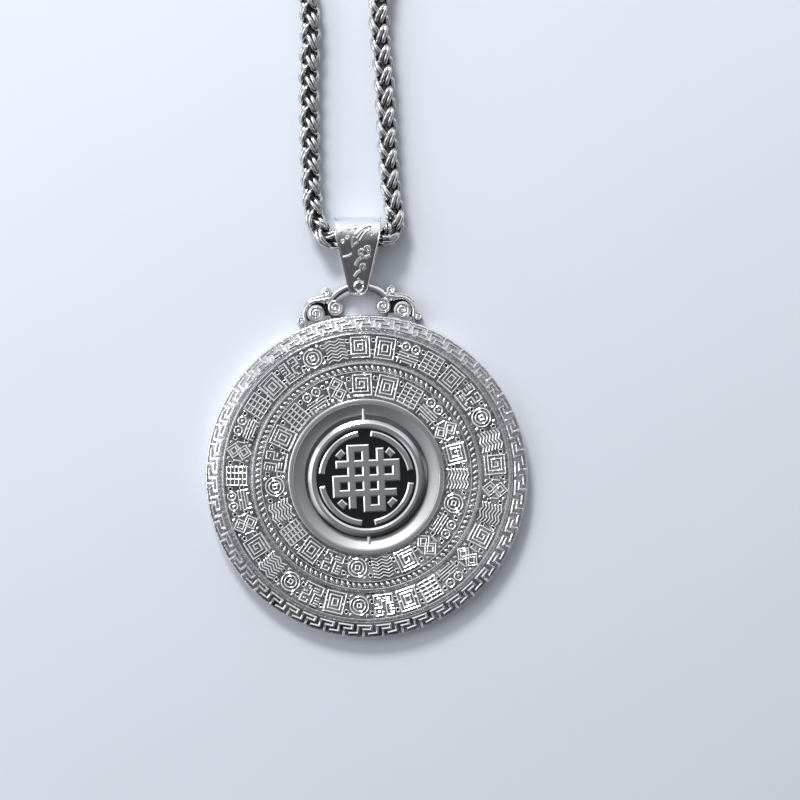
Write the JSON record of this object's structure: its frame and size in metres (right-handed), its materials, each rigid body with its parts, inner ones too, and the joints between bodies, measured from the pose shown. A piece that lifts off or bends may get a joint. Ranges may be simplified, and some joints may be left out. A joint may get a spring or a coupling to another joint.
{
  "type": "round medallion pendant with a turning centre disc on a wheat chain",
  "caption": "Round holed silver medallion with fret border and relief bands, a centre disc that turns on two pins, scroll shoulders, a tapered bail and a closed wheat chain with a barrel clasp.",
  "frame": {"origin": "centre of the medallion's flat back face, which lies on the table", "axes": "+Z out of the decorated front, +Y from the medallion to the bail and the chain, +X to the right seen from the front"},
  "size_m": [0.101, 0.2643, 0.0052],
  "materials": {
    "silver_cast": "bright cast silver with darker hollows",
    "silver_polished": "polished silver",
    "chain_steel": "polished stainless steel wire"
  },
  "bodies": {
    "pendant": {"medallion": "silver_cast", "upper_pin": "silver_polished", "lower_pin": "silver_polished", "bail": "silver_polished", "chain": "chain_steel", "clasp": "chain_steel"},
    "disc": {"turning_disc": "silver_polished"}
  },
  "joints": [
    {"name": "disc_turn", "type": "hinge", "parent": "pendant", "child": "disc", "pos_m": [0, 0, 0.002], "axis": [0, 1, 0], "continuous": true}
  ]
}
